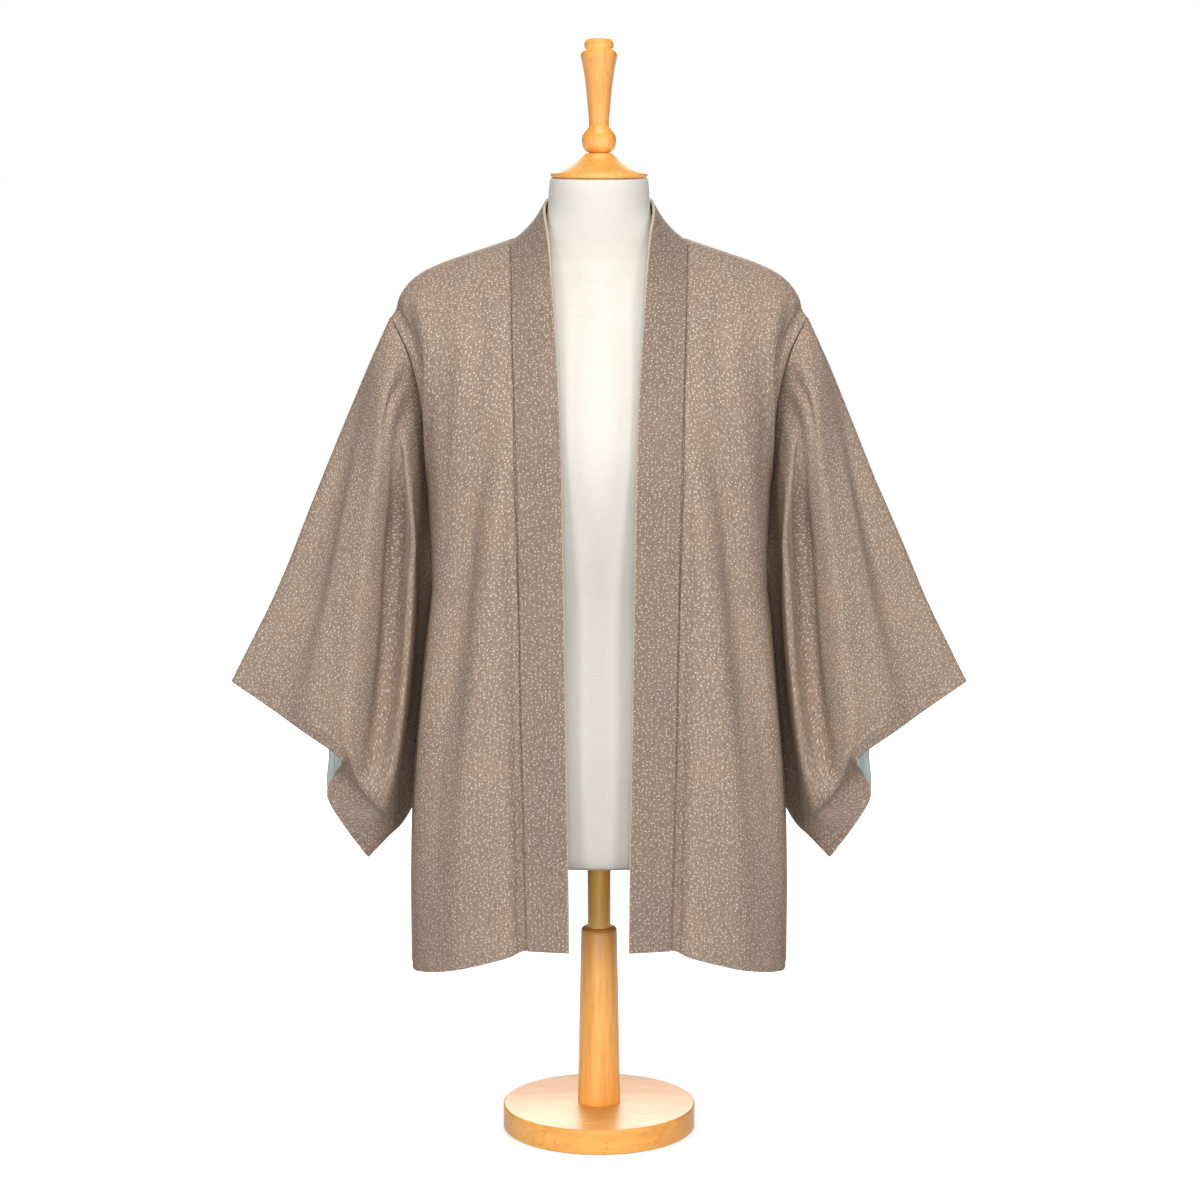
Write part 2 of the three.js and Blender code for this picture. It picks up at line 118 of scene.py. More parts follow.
# %% A line through pins
def smooth_line(pins, steps, closed=False):
    pins = np.asarray(pins, float)
    count = len(pins)
    if closed:
        pins = np.concatenate([pins[-1:], pins, pins[:2]])
    else:
        pins = np.concatenate([2 * pins[:1] - pins[1:2], pins, 2 * pins[-1:] - pins[-2:-1]])
    last = count if closed else count - 1
    steps = np.clip(np.asarray(steps, float), 0, last)
    i = np.minimum(steps.astype(int), last - 1)
    w = (steps - i).reshape(steps.shape + (1,) * (pins.ndim - 1))
    p0, p1, p2, p3 = (pins[i + k] for k in range(4))

    def gap(a, b):
        return np.maximum(np.linalg.norm(b - a, axis=-1, keepdims=True), 1e-8) ** 0.5

    g0, g1, g2 = gap(p0, p1), gap(p1, p2), gap(p2, p3)
    g0, g2 = np.where(g0 < 1e-4, g1, g0), np.where(g2 < 1e-4, g1, g2)
    leave = ((p1 - p0) / g0 - (p2 - p0) / (g0 + g1) + (p2 - p1) / g1) * g1
    arrive = ((p2 - p1) / g1 - (p3 - p1) / (g1 + g2) + (p3 - p2) / g2) * g1
    bend = 2 * (p1 - p2) + leave + arrive
    rise = 3 * (p2 - p1) - 2 * leave - arrive
    return p1 + leave * w + rise * w**2 + bend * w**3


def unit(v):
    return v / np.maximum(np.linalg.norm(v, axis=-1, keepdims=True), 1e-12)


def shares(count, rim=(), start=0.0):
    """Even shares from start to 1, with extra ones close to each end for a crisp edge."""
    even = np.linspace(start, 1, count + 1)
    extra = [start + r for r in rim] + [1 - r for r in rim]
    return np.unique(np.round(np.concatenate([even, extra]), 6))


# %% [markdown]
# ## The cut of each sheet
#
# Each function gives the outside face of one sheet for every pair of shares: along the cloth, and
# across it. A body panel hangs between its inner edge (the band, then the centre back) and its outer
# edge (the side seam and the armhole). A sleeve is a ring of lines run from armhole to cuff.


# %% The body panel
def panel_surface(along, across):
    step = along * PANEL_SPANS
    seam, edge = smooth_line(BAND_SEAM, step), smooth_line(BAND_EDGE, step)
    inner = seam - BAND_LAP * unit(seam - edge)
    inner[:, 0] = np.maximum(inner[:, 0], SEAM / 2)
    back = smooth_line(CENTRE_BACK, step - NAPE)
    back[:, 0] = SEAM / 2
    inner = np.where((step > NAPE)[:, None], back, inner)
    half = np.array([0, SEAM / 2, 0])
    rising = smooth_line(SIDE_SEAM, step) - half
    falling = smooth_line(SIDE_SEAM, PANEL_SPANS - step) + half
    around = smooth_line(ARMHOLE, step - SIDE_SPANS)
    outer = np.where((step <= SIDE_SPANS)[:, None], rising, around)
    outer = np.where((step >= SIDE_SPANS + ARM_SPANS)[:, None], falling, outer)
    bend = smooth_line([(*row, 0) for row in PANEL_BEND], along * (len(PANEL_BEND) - 1))
    square, turn = bend[:, :1], bend[:, 1:2]
    angle = across[None, :] * math.pi / 2
    reach = np.sin(angle) ** (2 / square)
    depth = np.maximum(np.cos(angle), 0) ** (2 / square)
    xi, yi, zi = (inner[:, k : k + 1] for k in range(3))
    xo, yo, zo = (outer[:, k : k + 1] for k in range(3))
    fall = SHOULDER_SLOPE * (xo - xi)
    x = xi + (xo - xi) * reach
    y = yo + (yi - yo) * depth
    z = zi - fall * reach - (zi - fall - zo) * reach**turn
    high = 0
    for a0, l0, wide, long, rise in PANEL_FOLDS:
        sideways, lengthways = (across[None, :] - a0) / wide, (along[:, None] - l0) / long
        high = high + rise * np.exp(-(sideways**2) - lengthways**2)
    facing = unit(np.stack([reach, np.sign(y) * depth, np.zeros_like(x)], axis=-1))
    return np.stack([x, y, z], axis=-1) + facing * high[..., None]


# %% The collar band
def band_surface(along, across):
    step = along * 2 * NAPE
    near = np.where(step <= NAPE, step, 2 * NAPE - step)
    edge, seam = smooth_line(BAND_EDGE, near)[:, None], smooth_line(BAND_SEAM, near)[:, None]
    a = across[None, :, None]
    point = edge + (seam - edge) * a
    hollow = smooth_line([(k, h, 0) for k, h in enumerate(BAND_HOLLOW)], near)[:, None, 1:2]
    inwards = np.concatenate([-point[..., :2], np.full_like(point[..., :1], -60)], axis=-1)
    point = point + unit(inwards) * hollow * 4 * a * (1 - a)
    point[..., 0] *= np.where(step <= NAPE, 1, -1)[:, None]
    return point


# %% The sleeve
LINE_SHARES = [(1 + (6 - row[0]) / ARM_SPANS) % 1 for row in SLEEVE]


def sleeve_surface(along, around):
    lines = []
    for armhole, head, upper, middle, lower, lip, tuck, cuff in SLEEVE:
        start = smooth_line(ARMHOLE, [armhole])[0] + (ARMHOLE_SEAM, 0, 0)
        lip, cuff = np.array(lip, float), np.array(cuff, float)
        fold = lip + tuck * np.array([0.35, 1, -0.1]) if tuck else lip + (cuff - lip) * 0.3
        lines.append(smooth_line([start, head, upper, middle, lower, lip, fold, cuff], along * STATIONS))
    share = around % 1
    step = np.interp(share, LINE_SHARES + [1], range(len(SLEEVE) + 1))
    ring = smooth_line(lines, step, closed=True).transpose(1, 0, 2)
    hole = smooth_line(ARMHOLE, (6 + ARM_SPANS * (1 - share)) % ARM_SPANS) + (ARMHOLE_SEAM, 0, 0)
    ring[along == 0] = hole
    return ring


print("sleeve lines start at shares", [round(s, 3) for s in LINE_SHARES])

# %% [markdown]
# ## Creases, and cloth from a grid
#
# Silk crepe hangs in a few long, soft folds, and each one here is a line drawn on the flat cloth
# with a width and a height: below nought it is a trough. `creased` pushes the sheet along
# its own normal, so a fold stays at right angles to the cloth however it hangs. `flat_map` measures the
# sheet both ways, and those lengths become the UV map, in metres. The dye and weave are drawn in that
# map, so they follow the cloth like a real print.


# %% Creases and the flat map
def normals(points):
    lengthwise, crosswise = np.gradient(points, axis=0), np.gradient(points, axis=1)
    return unit(np.cross(crosswise, lengthwise))


def creased(points, flat, creases):
    """creases: both ends on the flat cloth, how far the middle bows sideways, half width and height."""
    u, v = flat[..., 0] / MM, flat[..., 1] / MM
    high = np.zeros(points.shape[:2])
    for start, end, bow, wide, rise in creases:
        way = np.subtract(end, start).astype(float)
        length = np.linalg.norm(way)
        way = way / length
        t = ((u - start[0]) * way[0] + (v - start[1]) * way[1]) / length
        off = (v - start[1]) * way[0] - (u - start[0]) * way[1] - bow * 4 * t * (1 - t)
        fade = np.sin(math.pi * np.clip(t, 0, 1)) ** 0.8
        high += rise * np.exp(-((off / wide) ** 2)) * fade
    return points + normals(points) * high[..., None]


def flat_map(points, from_row=0, from_column=0, last_row=None):
    """Lengths across and along in metres; past last_row the lengths across are that row's own."""
    down = np.linalg.norm(np.diff(points, axis=0), axis=-1)
    over = np.linalg.norm(np.diff(points, axis=1), axis=-1)
    v = np.concatenate([np.zeros((1, points.shape[1])), down.cumsum(axis=0)])
    u = np.concatenate([np.zeros((points.shape[0], 1)), over.cumsum(axis=1)], axis=1)
    u, v = u - u[:, from_column : from_column + 1], v - v[from_row : from_row + 1]
    if last_row is not None:
        u[last_row:] = u[last_row]
    return np.stack([u, v], axis=-1) * MM


# %% [markdown]
# Blender makes an even grid of squares, and each corner of it is then moved to its place on the sheet.
# A ring is welded where its two ends meet. The normals are put right before the wall is made, because
# the Solidify modifier builds the thickness inwards from the outside face.


# %% Cloth from a grid
def cloth_piece(name, points, flat, thick, hand=1, ring=False, rim=0.5):
    rows, columns = points.shape[:2]
    bm = bmesh.new()
    uv = bm.loops.layers.uv.new("flat")
    bmesh.ops.create_grid(bm, x_segments=columns - 1, y_segments=rows - 1, size=0.5)
    place = {}
    for v in bm.verts:
        place[v] = (round((v.co.y + 0.5) * (rows - 1)), round((v.co.x + 0.5) * (columns - 1)))
    for face in bm.faces:
        face.smooth = True
        for loop in face.loops:
            loop[uv].uv = flat[place[loop.vert]]
    scaled = points * (hand * MM, MM, MM)
    for v, spot in place.items():
        v.co = scaled[spot]
    if ring:
        bmesh.ops.remove_doubles(bm, verts=bm.verts, dist=1e-6)
    bmesh.ops.recalc_face_normals(bm, faces=bm.faces)
    bm.faces.ensure_lookup_table()
    middle = bm.faces[len(bm.faces) // 2 + columns // 2]
    spot = min(place[v] for v in middle.verts)
    outward = Vector(normals(points)[spot] * (hand, 1, 1))
    if middle.normal.dot(outward) < 0:
        bmesh.ops.reverse_faces(bm, faces=bm.faces)
    area = sum(face.calc_area() for face in bm.faces)
    mesh = bpy.data.meshes.new(name)
    bm.to_mesh(mesh)
    bm.free()
    piece = bpy.data.objects.new(name, mesh)
    bpy.context.collection.objects.link(piece)
    wall = piece.modifiers.new("wall", "SOLIDIFY")
    wall.thickness, wall.offset = thick * MM, -1
    if rim:
        edge = piece.modifiers.new("soft edge", "BEVEL")
        edge.width, edge.segments = rim * MM, 2
        edge.limit_method, edge.angle_limit = "ANGLE", math.radians(60)
    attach(piece, "root")
    print(f"{name}: {rows} x {columns} corners, {area:.3f} square metres")
    return piece


# %% [markdown]
# ## The body panels
#
# One long panel a side, from the front hem over the shoulder to the back hem. The front hangs almost
# flat: one broad roll runs down beside the band, and a deeper valley starts where the shoulder drops
# into the sleeve. The left and right folds are close to each other but never quite the same.

# %% Body panels
# Across the cloth is measured in from the armhole and side seam (so it is below nought), and along it
# from the shoulder line: below nought down the front, above nought down the back.
FRONT_CREASES = [
    ((-25, -24), (-14, -170), -2, 9, -8),
    ((-46, -12), (-20, -190), -8, 11, 4),
    ((-4, -110), (-22, -330), 10, 10, -4),
    ((-172, -150), (-122, -840), 6, 18, 7),
    ((-146, -120), (-108, -500), 8, 16, -6),
    ((-70, -260), (-50, -800), -9, 17, 4),
    ((-36, -330), (-16, -740), 6, 14, -3),
    ((-104, -40), (-124, -250), 8, 12, -3.4),
    ((-72, -40), (-88, -300), -6, 11, 2.6),
]
BACK_CREASES = [
    ((-80, 650), (-100, 180), 10, 17, 5),
    ((-130, 660), (-150, 160), -8, 16, -5.5),
    ((-40, 690), (-46, 300), 8, 14, -5),
    ((-176, 640), (-190, 200), 5, 15, 4.5),
    ((-4, 60), (-80, 330), -14, 12, -6),
    ((-10, 60), (-110, 240), 10, 10, 3),
    ((-8, 170), (-60, 460), 8, 12, 4),
]
TWIST = {
    "left": [
        ((-60, -100), (-90, -330), -8, 9, -2.4), ((-110, -420), (-104, -660), 5, 7, -1.8),
        ((-120, 300), (-80, 560), 4, 12, 2.4), ((-26, -300), (-44, -490), 4, 7, -2.2),
    ],
    "right": [
        ((-50, -70), (-74, -250), 7, 9, -2.4), ((-92, -380), (-88, -600), -5, 8, -2.0),
        ((-70, 260), (-120, 520), -4, 12, -2.4), ((-34, -260), (-30, -430), -4, 7, 2.0),
    ],
}
RIM_ALONG = (0.0007, 0.0014, 0.0045)
RIM_ACROSS = (0.0015, 0.003, 0.0045, 0.006, 0.0075, 0.009, 0.011, 0.013, 0.02)
BAND_GROOVE, SIDE_GROOVE, BEHIND_BAND = 3.2, 0.5, 10
along, across = shares(230, RIM_ALONG), shares(64, RIM_ACROSS)
shoulder_row = int(np.argmin(abs(along - 0.5)))
bodies = {}
for side, hand in (("left", -1), ("right", 1)):
    plain = panel_surface(along, across)
    flat = flat_map(plain, shoulder_row, len(across) - 1)
    points = creased(plain, flat, FRONT_CREASES + BACK_CREASES + TWIST[side])
    # folds fade within a few millimetres of a seam, so every seam stays where the pattern puts it
    from_band, from_side = (flat[..., 0] - flat[:, :1, 0]) / MM, -flat[..., 0] / MM
    sewn = np.clip(np.minimum(from_band / 12 + 0.3, from_side / 8 + 0.12), 0, 1)
    points = plain + (points - plain) * sewn[..., None]
    # the stitches pull each seam down into a narrow groove
    at_band = np.exp(-(((from_band - BAND_LAP - 0.2) / 1.5) ** 2))
    at_side = np.exp(-((from_side / 1.8) ** 2))
    groove = BAND_GROOVE * at_band + SIDE_GROOVE * at_side
    # lower down, the cloth beside the band sinks behind it
    lower = np.clip(-(flat[..., 1] / MM + 180) / 420, 0, 1)
    groove += BEHIND_BAND * lower * np.exp(-(((from_band - 9) / 7.5) ** 2))
    points = points - normals(points) * groove[..., None]
    piece = cloth_piece(f"body_panel_{side}", points, flat, CLOTH, hand)
    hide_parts(f"body_{side}")
    bodies[side] = piece

# %% [markdown]
# ## The sleeves
#
# A haori sleeve is a long strip folded at the top and sewn into a wide flat bag. Hanging with no arm
# in it, the bag folds on itself: a broad ridge runs from the shoulder to the bottom of the cuff, then
# a valley, then a tight roll beside the body. The cuff is a turned-in hem, so its edge is a little
# thicker, with a faint line of stitches a finger's width in.

# %% Sleeves
# Across the sleeve is measured round it from the top fold: above nought towards the front.
SLEEVE_CREASES = [
    ((22, 30), (106, 460), -8, 20, 10),
    ((84, 6), (200, 415), -28, 12, -13),
    ((134, 4), (220, 395), -34, 9, 3),
    ((58, 6), (84, 92), -4, 6, -4),
    ((-70, 40), (-60, 380), 10, 15, -7),
    ((-110, 30), (-126, 350), -8, 14, 6),
    ((-30, 60), (-26, 400), 6, 12, -4),
    ((-170, 30), (-180, 290), 6, 12, -4),
]
SLEEVE_TWIST = {
    "left": [((22, 130), (44, 350), 6, 9, -2.4), ((-8, 60), (2, 260), 3, 8, 1.6)],
    "right": [((18, 100), (50, 320), -5, 9, -2.6), ((-6, 180), (8, 380), -3, 8, 1.8)],
}
along = np.unique(np.concatenate([shares(130, (0.002, 0.006)), np.linspace(0.968, 1, 16)]))
around = np.linspace(0.5, 1.5, 221)
top_column, lip_row = int(np.argmin(abs(around - 1))), int(np.argmin(abs(along - 5 / STATIONS)))
sleeves = {}
for side, hand in (("left", -1), ("right", 1)):
    plain = sleeve_surface(along, around)
    flat = flat_map(plain, 0, top_column, lip_row)
    points = creased(plain, flat, SLEEVE_CREASES + SLEEVE_TWIST[side])
    sewn = np.clip(np.minimum(along / 0.03 + 0.12, (1 - along) / 0.03 + 0.4), 0, 1)[:, None, None]
    points = plain + (points - plain) * sewn
    from_cuff = flat[-1:, :, 1] - flat[..., 1]
    stitches = -0.4 * np.exp(-(((from_cuff / MM - 7.5) / 1.1) ** 2))
    points = points + normals(points) * stitches[..., None]
    points[:, -1] = points[:, 0]
    piece = cloth_piece(f"sleeve_sheet_{side}", points, flat, CLOTH, hand, ring=True)
    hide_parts(f"sleeve_{side}")
    sleeves[side] = (piece, points)

# %% [markdown]
# ## The sleeve linings
#
# Inside each cuff shows a plain pale blue lining. It is the same sheet as the sleeve, set a little
# inside it, and starts as deep in the sleeve as it can be seen. Its edge lies just within the cuff.

# %% Sleeve linings
linings = {}
for side, hand in (("left", -1), ("right", 1)):
    rows = along >= LINING_FROM
    outside = sleeves[side][1][rows]
    inside = outside - normals(outside) * (CLOTH + LINING_CLEAR)
    inside[:, -1] = inside[:, 0]
    piece = cloth_piece(
        f"sleeve_lining_sheet_{side}", inside, flat_map(inside, 0, top_column), LINING, hand, ring=True, rim=0.3
    )
    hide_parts(f"sleeve_lining_{side}")
    linings[side] = piece

# %% [markdown]
# ## The collar band
#
# The band is one strip folded over on itself round a stiffer core, so it stands a little proud of
# the panels and its free edge is a rounded fold. It is a thicker wall with a wider soft edge.

# %% Collar band
along, across = shares(380, (0.0004, 0.0012)), shares(12, (0.02, 0.05))
points = band_surface(along, across)
points = points + normals(points) * BAND_PROUD
swell = np.sin(math.pi * across[None, :])
fullness = 0.5 * swell**0.5 + 0.25 * np.sin(60 * along)[:, None] * swell
points = points + normals(points) * fullness[..., None]
band = cloth_piece("collar_band_sheet", points, flat_map(points), BAND, rim=1.1)
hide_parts("collar_band")

# %% [markdown]
# ## The dress form
#
# A limbless padded form covered in ivory linen. Its outline is spun as a straight tube, then every ring
# is pushed out to its own width and depth, which is how a form's foam is carved between templates.

# %% Dress form
FORM_FLOOR, NECK_TOP = 294, 986
FORM_RINGS = [
    (294, 150, 84, 84, 2), (297, 156, 89, 89, 2), (306, 159, 92, 92, 2), (400, 160, 95, 99, 2),
    (480, 149, 91, 92, 2), (560, 137, 87, 80, 2), (640, 144, 93, 84, 2), (710, 156, 98, 93, 2),
    (770, 165, 90, 96, 2), (815, 174, 76, 92, 2), (846, 180, 62, 84, 2), (866, 178, 54, 76, 1.8),
    (880, 164, 50, 72, 1.6), (894, 130, 48, 66, 1.5), (906, 98, 47, 62, 1.5), (920, 72, 47, 57, 1.7),
    (936, 57, 48, 54, 2), (955, 51.5, 49, 51, 2), (978, 50, 49, 49, 2), (984.5, 49, 48, 48, 2),
    (986, 46.5, 45.5, 45.5, 2),
]


def spun(name, profile, nodes, segments=96):
    """A piece turned about the upright axis: profile is (radius, height) in millimetres."""
    bm = bmesh.new()
    verts = [bm.verts.new((r * MM, 0, z * MM)) for r, z in profile]
    edges = [bm.edges.new(pair) for pair in zip(verts, verts[1:])]
    bmesh.ops.spin(
        bm, geom=verts + edges, axis=(0, 0, 1), cent=(0, 0, 0), angle=math.tau, steps=segments, use_merge=True
    )
    bmesh.ops.remove_doubles(bm, verts=bm.verts, dist=1e-6)
    bmesh.ops.recalc_face_normals(bm, faces=bm.faces)
    for face in bm.faces:
        face.smooth = True
    for edge in bm.edges:
        edge.smooth = edge.calc_face_angle(0) < math.radians(38)
    mesh = bpy.data.meshes.new(name)
    bm.to_mesh(mesh)
    bm.free()
    piece = bpy.data.objects.new(name, mesh)
    bpy.context.collection.objects.link(piece)
    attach(piece, "root")
    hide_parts(*nodes)
    print(f"{name}: {len(mesh.polygons)} faces")
    return piece


rings = np.linspace(0, len(FORM_RINGS) - 1, 141)
heights = smooth_line([(row[0], row[4], 0) for row in FORM_RINGS], rings)
sizes = smooth_line([row[1:4] for row in FORM_RINGS], rings)
form = spun("dress_form", [(0, FORM_FLOOR)] + [(1000, z) for z in heights[:, 0]] + [(0, NECK_TOP)],
            ["form_torso"], 120)
for v in form.data.vertices:
    x, y, z = v.co
    if math.hypot(x, y) < 0.5:
        continue
    k = int(np.argmin(abs(heights[:, 0] - z / MM)))
    wide, front, back = sizes[k] * MM
    power = 2 / heights[k, 1]
    v.co.x = math.copysign(abs(x) ** power * wide, x)
    v.co.y = math.copysign(abs(y) ** power * (front if y < 0 else back), y)

# %% [markdown]
# ## The turned wood
#
# Foot, column, pole, neck cap and finial are all made on a lathe. Each profile is a smooth line through
# the same radii as the solid, with the corners rounded as sandpaper leaves them.

# %% Turned wood
CAP = [(47.5, 0), (48.5, 1), (48.5, 4), (46, 6), (34, 12), (22, 18.5), (15.5, 24)]
FINIAL = [
    (11, 0), (15.5, 4), (17.2, 11), (16, 19), (12, 25), (10.2, 28), (11, 42), (13.2, 66), (16.6, 88),
    (18.2, 95), (18.2, 98.5), (16.8, 101), (14.6, 102.5), (14.6, 109), (12.5, 112.5), (7, 113.8),
]


def sanded(rows, base=0, fine=5):
    points = smooth_line([(r, z, 0) for r, z in rows], np.linspace(0, len(rows) - 1, (len(rows) - 1) * fine + 1))
    return [(0, rows[0][1] + base)] + [(r, z + base) for r, z, _ in points] + [(0, rows[-1][1] + base)]


def corner(r, z, size, turn):
    """A quarter-round corner, (r, z) being where the two faces would meet."""
    steps = [math.radians(15 * k) for k in range(7)]
    if turn == "up":
        return [(r - size + size * math.sin(a), z + size - size * math.cos(a)) for a in steps]
    return [(r - size + size * math.cos(a), z - size + size * math.sin(a)) for a in steps]


POLE_RADIUS, POLE_FROM, POLE_TO = 12, 176, 352
COLUMN_FROM, COLUMN_LONG, SOCKET = 26.3, 188, 12.4
top = COLUMN_FROM + COLUMN_LONG
foot = spun("turned_foot", [(0, 0)] + corner(100, 0, 2, "up") + corner(100, 26, 2.4, "over") + [(0, 26)],
            ["foot"], 160)
column = spun(
    "turned_column",
    [(SOCKET, COLUMN_FROM), (21.6, COLUMN_FROM), (22, 26.9), (22, 34.3)] + corner(18.6, top, 4.5, "over")
    + [(SOCKET, top), (SOCKET, COLUMN_FROM)],
    ["column"],
)
pole_line = [(0, POLE_FROM), (POLE_RADIUS, POLE_FROM), (POLE_RADIUS, POLE_TO), (0, POLE_TO)]
pole = spun("turned_pole", pole_line, ["pole"], 48)
cap = spun("turned_neck_cap", sanded(CAP, NECK_TOP + 0.4), ["neck_cap"], 128)
finial = spun("turned_finial", sanded(FINIAL, NECK_TOP + 24.7), ["finial"])

# %% [markdown]
# ## A small language for materials
#
# Shader nodes are easier to read as arithmetic. `Num` wraps one socket and answers to plus,
# times and minus, and `Recipe.node` adds any other node. Everything below is built from these two.


# %% Shader arithmetic
class Num:
    def __init__(self, recipe, socket):
        self.recipe, self.socket = recipe, socket

    def math(self, operation, *others, swap=False):
        node = self.recipe.tree.nodes.new("ShaderNodeMath")
        node.operation = operation
        values = [self, *others]
        if swap:
            values.reverse()
        for slot, value in zip(node.inputs, values):
            self.recipe.put(slot, value)
        return Num(self.recipe, node.outputs[0])

    def __add__(self, other):
        return self.math("ADD", other)

    def __mul__(self, other):
        return self.math("MULTIPLY", other)

    def __rsub__(self, other):
        return self.math("SUBTRACT", other, swap=True)

    __radd__, __rmul__ = __add__, __mul__

    def above(self, low, high):
        """0 below low, 1 above high, smooth between; low and high may be the other way round."""
        ramp = self.recipe.node(
            "ShaderNodeMapRange", {"interpolation_type": "SMOOTHSTEP"},
            {"Value": self, "From Min": min(low, high), "From Max": max(low, high)},
        )
        result = Num(self.recipe, ramp.outputs["Result"])
        return result if low < high else 1 - result


class Recipe:
    """One material, with the shader its values go to."""

    def __init__(self, name, **constants):
        self.material = bpy.data.materials.new(name)
        self.material.use_nodes = True
        self.tree = self.material.node_tree
        self.shader = next(n for n in self.tree.nodes if n.type == "BSDF_PRINCIPLED")
        for key, value in constants.items():
            self.shader.inputs[key.replace("_", " ")].default_value = value

    def put(self, slot, value):
        if isinstance(value, Num):
            value = value.socket
        if isinstance(value, bpy.types.NodeSocket):
            self.tree.links.new(value, slot)
        else:
            slot.default_value = value

    def node(self, kind, settings=None, inputs=None):
        node = self.tree.nodes.new(kind)
        for key, value in (settings or {}).items():
            setattr(node, key, value)
        for key, value in (inputs or {}).items():
            self.put(node.inputs[key], value)
        return node

    def flat(self):
        return self.node("ShaderNodeUVMap", {"uv_map": "flat"}).outputs["UV"]

    def place(self):
        return self.node("ShaderNodeTexCoord").outputs["Object"]

    def moved(self, vector, scale=(1, 1, 1), turn=0.0):
        node = self.node("ShaderNodeMapping", None, {"Vector": vector, "Scale": scale, "Rotation": (0, 0, turn)})
        return node.outputs["Vector"]

    def noise(self, vector, scale, detail=3.0, warp=0.0):
        node = self.node("ShaderNodeTexNoise", None,
                         {"Vector": vector, "Scale": scale, "Detail": detail, "Distortion": warp})
        return Num(self, node.outputs["Fac"])

    def cells(self, vector, scale, loose=1.0):
        """Distance to the nearest scattered point, and that point's own chance."""
        node = self.node("ShaderNodeTexVoronoi", {"voronoi_dimensions": "2D"},
                         {"Vector": vector, "Scale": scale, "Randomness": loose})
        chance = self.node("ShaderNodeSeparateColor", None, {"Color": node.outputs["Color"]})
        return Num(self, node.outputs["Distance"]), Num(self, chance.outputs[0]), Num(self, chance.outputs[1])

    def mix(self, share, first, second):
        node = self.node("ShaderNodeMix", {"data_type": "RGBA"})
        self.put(node.inputs["Factor"], share)
        for slot, value in ((node.inputs[6], first), (node.inputs[7], second)):
            self.put(slot, value if isinstance(value, bpy.types.NodeSocket) else (*value, 1))
        return node.outputs[2]

    def finish(self, colour=None, rough=None, height=None, strength=1.0, deep=0.0002):
        if colour is not None:
            self.put(self.shader.inputs["Base Color"], colour)
        if rough is not None:
            self.put(self.shader.inputs["Roughness"], rough)
        if height is not None:
            bump = self.node("ShaderNodeBump", None, {"Height": height, "Strength": strength, "Distance": deep})
            self.put(self.shader.inputs["Normal"], bump.outputs["Normal"])
        return self.material


def paint(*levels):
    """A colour given as a painter sees it, 0 to 255, in the renderer's linear light."""
    return tuple((c / 12.92 if c <= 0.04045 else ((c + 0.055) / 1.055) ** 2.4) for c in (v / 255 for v in levels))


# %% [markdown]
# ## Dyed silk crepe
#
# The cloth is a brown crepe with a komon, an all-over stencil print of dots no bigger than a grain of
# rice. The dots are points scattered on a loose grid, left out here and there so that they gather in
# drifts. Short pale dashes lie between them, bent along a slow noise like combed water. Under
# them the ground moves between a redder and a greener brown, as plant dyes do. The collar band is the
# same silk with painted shade, a little darker all over, and a painted highlight along its fold.


# %% Haori silk
def silk(name, painted_shade=1.0, painted_highlight_edge=False):
    # painted shade: a factor below 1 scales every dye colour darker, as on the collar band's copy
    def dye_and_painted_shade(*levels):
        return paint(*(level * painted_shade for level in levels))

    r = Recipe(name, Roughness=0.72, Specular_IOR_Level=0.16)
    flat = r.flat()
    drift = r.noise(flat, 22, 2)
    slow = r.noise(flat, 9, 2, 0.6)
    ground = r.mix(slow.above(0.36, 0.64), dye_and_painted_shade(143, 123, 108), dye_and_painted_shade(151, 129, 112))
    ground = r.mix(drift.above(0.42, 0.62) * 0.5, ground, dye_and_painted_shade(138, 122, 108))
    combed = r.noise(r.moved(flat, (1, 0.2, 1), 0.35), 1000, 2, 1.4)
    ground = r.mix(combed.above(0.50, 0.64) * 0.5, ground, dye_and_painted_shade(180, 159, 141))
    ground = r.mix(combed.above(0.47, 0.34) * 0.45, ground, dye_and_painted_shade(108, 88, 75))
    away, chance, tone = r.cells(flat, 222, 0.85)
    kept = (chance + drift * 0.9).above(0.56, 0.64)
    dot = away.above(0.19, 0.11) * kept
    bent = r.moved(flat, (0.42, 1, 1), 0.5)
    dash_away, dash_chance, _ = r.cells(bent, 350, 0.9)
    dash = dash_away.above(0.21, 0.12) * (dash_chance + (1 - drift) * 0.8).above(0.66, 0.82)
    colour = r.mix(dash * 0.5, ground, dye_and_painted_shade(206, 188, 170))
    colour = r.mix(dot * (tone * 0.35 + 0.6), colour, dye_and_painted_shade(232, 214, 196))
    # painted highlight: a paler strip along the band's folded free edge, where light catches the fold
    if painted_highlight_edge:
        across = Num(r, r.node("ShaderNodeSeparateXYZ", None, {"Vector": flat}).outputs["X"])
        colour = r.mix(across.above(0.0018, 0.0005) * 0.55, colour, paint(214, 202, 186))
    crepe = r.noise(flat, 2600, 1)
    return r.finish(colour, None, crepe * 0.5 + slow * 0.8, 0.35, 0.0004)


haori_silk = silk("Brown komon crepe")
# the collar band: the same silk with painted shade, 0.91 darker all over, and a painted highlight along its fold
band_silk_painted_shade = silk("Brown komon crepe, collar band, painted shade and highlight", 0.91, painted_highlight_edge=True)


# %% [markdown]
# ## Lining, linen and wood
#
# The lining is a smooth pale blue silk with a faint woven figure. The form's linen is a plain weave
# whose thicker weft threads run round the body. The wood is pale beech: fine brown flecks and a
# slow grain, upright in the turned pieces and lying across the foot, all under a satin varnish. The
# pole and the foot are painted lighter, as painted light where the cloth and the lamps leave them dim.


# %% Lining and linen
def blue_lining():
    r = Recipe("Pale blue silk lining", Roughness=0.5, Specular_IOR_Level=0.35)
    flat = r.flat()
    figure = r.noise(flat, 95, 2, 0.8).above(0.52, 0.58)
    colour = r.mix(figure * 0.4, paint(222, 234, 234), paint(234, 242, 242))
    return r.finish(colour, 0.56 - figure * 0.1, r.noise(flat, 1800, 1), 0.1, 0.0002)


